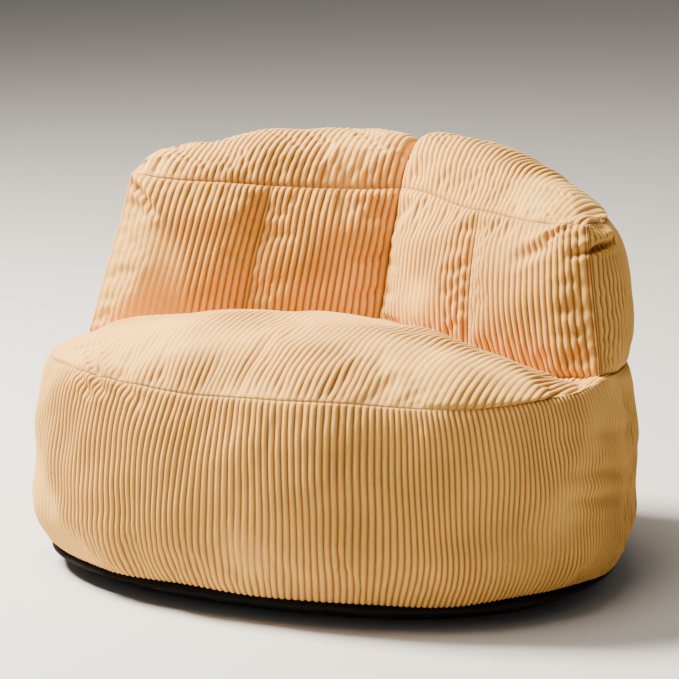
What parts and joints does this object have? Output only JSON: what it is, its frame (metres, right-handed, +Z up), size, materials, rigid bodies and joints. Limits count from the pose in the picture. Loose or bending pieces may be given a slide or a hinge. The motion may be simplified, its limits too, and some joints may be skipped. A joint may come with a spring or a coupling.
{
  "type": "bean bag chair",
  "caption": "Low round bean bag chair: a domed drum seat with a wrap-around backrest, ribbed corduroy cover over a dark base cloth, and a zip round the rear of the base.",
  "frame": {"origin": "on the floor, under the middle of the chair's outline", "axes": "+Z up, the sitter faces -Y, +X to the right as seen from the front"},
  "size_m": [0.8796, 0.7647, 0.593],
  "materials": {
    "corduroy": "matte",
    "base_cloth": "matte",
    "zip_tape": "matte",
    "zip_teeth": "satin",
    "zip_metal": "satin",
    "liner": "matte",
    "fill": "matte"
  },
  "bodies": {
    "chair": {"seat_panel": "corduroy", "base_band_front": "corduroy", "base_band_rear": "corduroy", "bottom_panel": "base_cloth", "inner_back_left_outer": "corduroy", "inner_back_left_centre": "corduroy", "inner_back_right_centre": "corduroy", "inner_back_right_outer": "corduroy", "back_top_left": "corduroy", "back_top_right": "corduroy", "outer_back_left": "corduroy", "outer_back_right": "corduroy", "zip_tape_upper": "zip_tape", "zip_tape_lower": "zip_tape", "zip_teeth_upper": "zip_teeth", "zip_teeth_lower": "zip_teeth", "zip_stop_left": "zip_metal", "zip_stop_right": "zip_metal", "centre_baffle": "liner", "seat_liner": "liner", "seat_fill": "fill", "back_liner_left": "liner", "back_liner_right": "liner", "back_fill_left": "fill", "back_fill_right": "fill"},
    "zip_slider": {"zip_slider_body": "zip_metal", "zip_slider_cap": "zip_metal"}
  },
  "joints": [
    {"name": "zip_slider_travel", "type": "hinge", "parent": "chair", "child": "zip_slider", "pos_m": [0, -0.0575, 0.052], "axis": [0, 0, 1], "range_deg": [0, 152]}
  ]
}
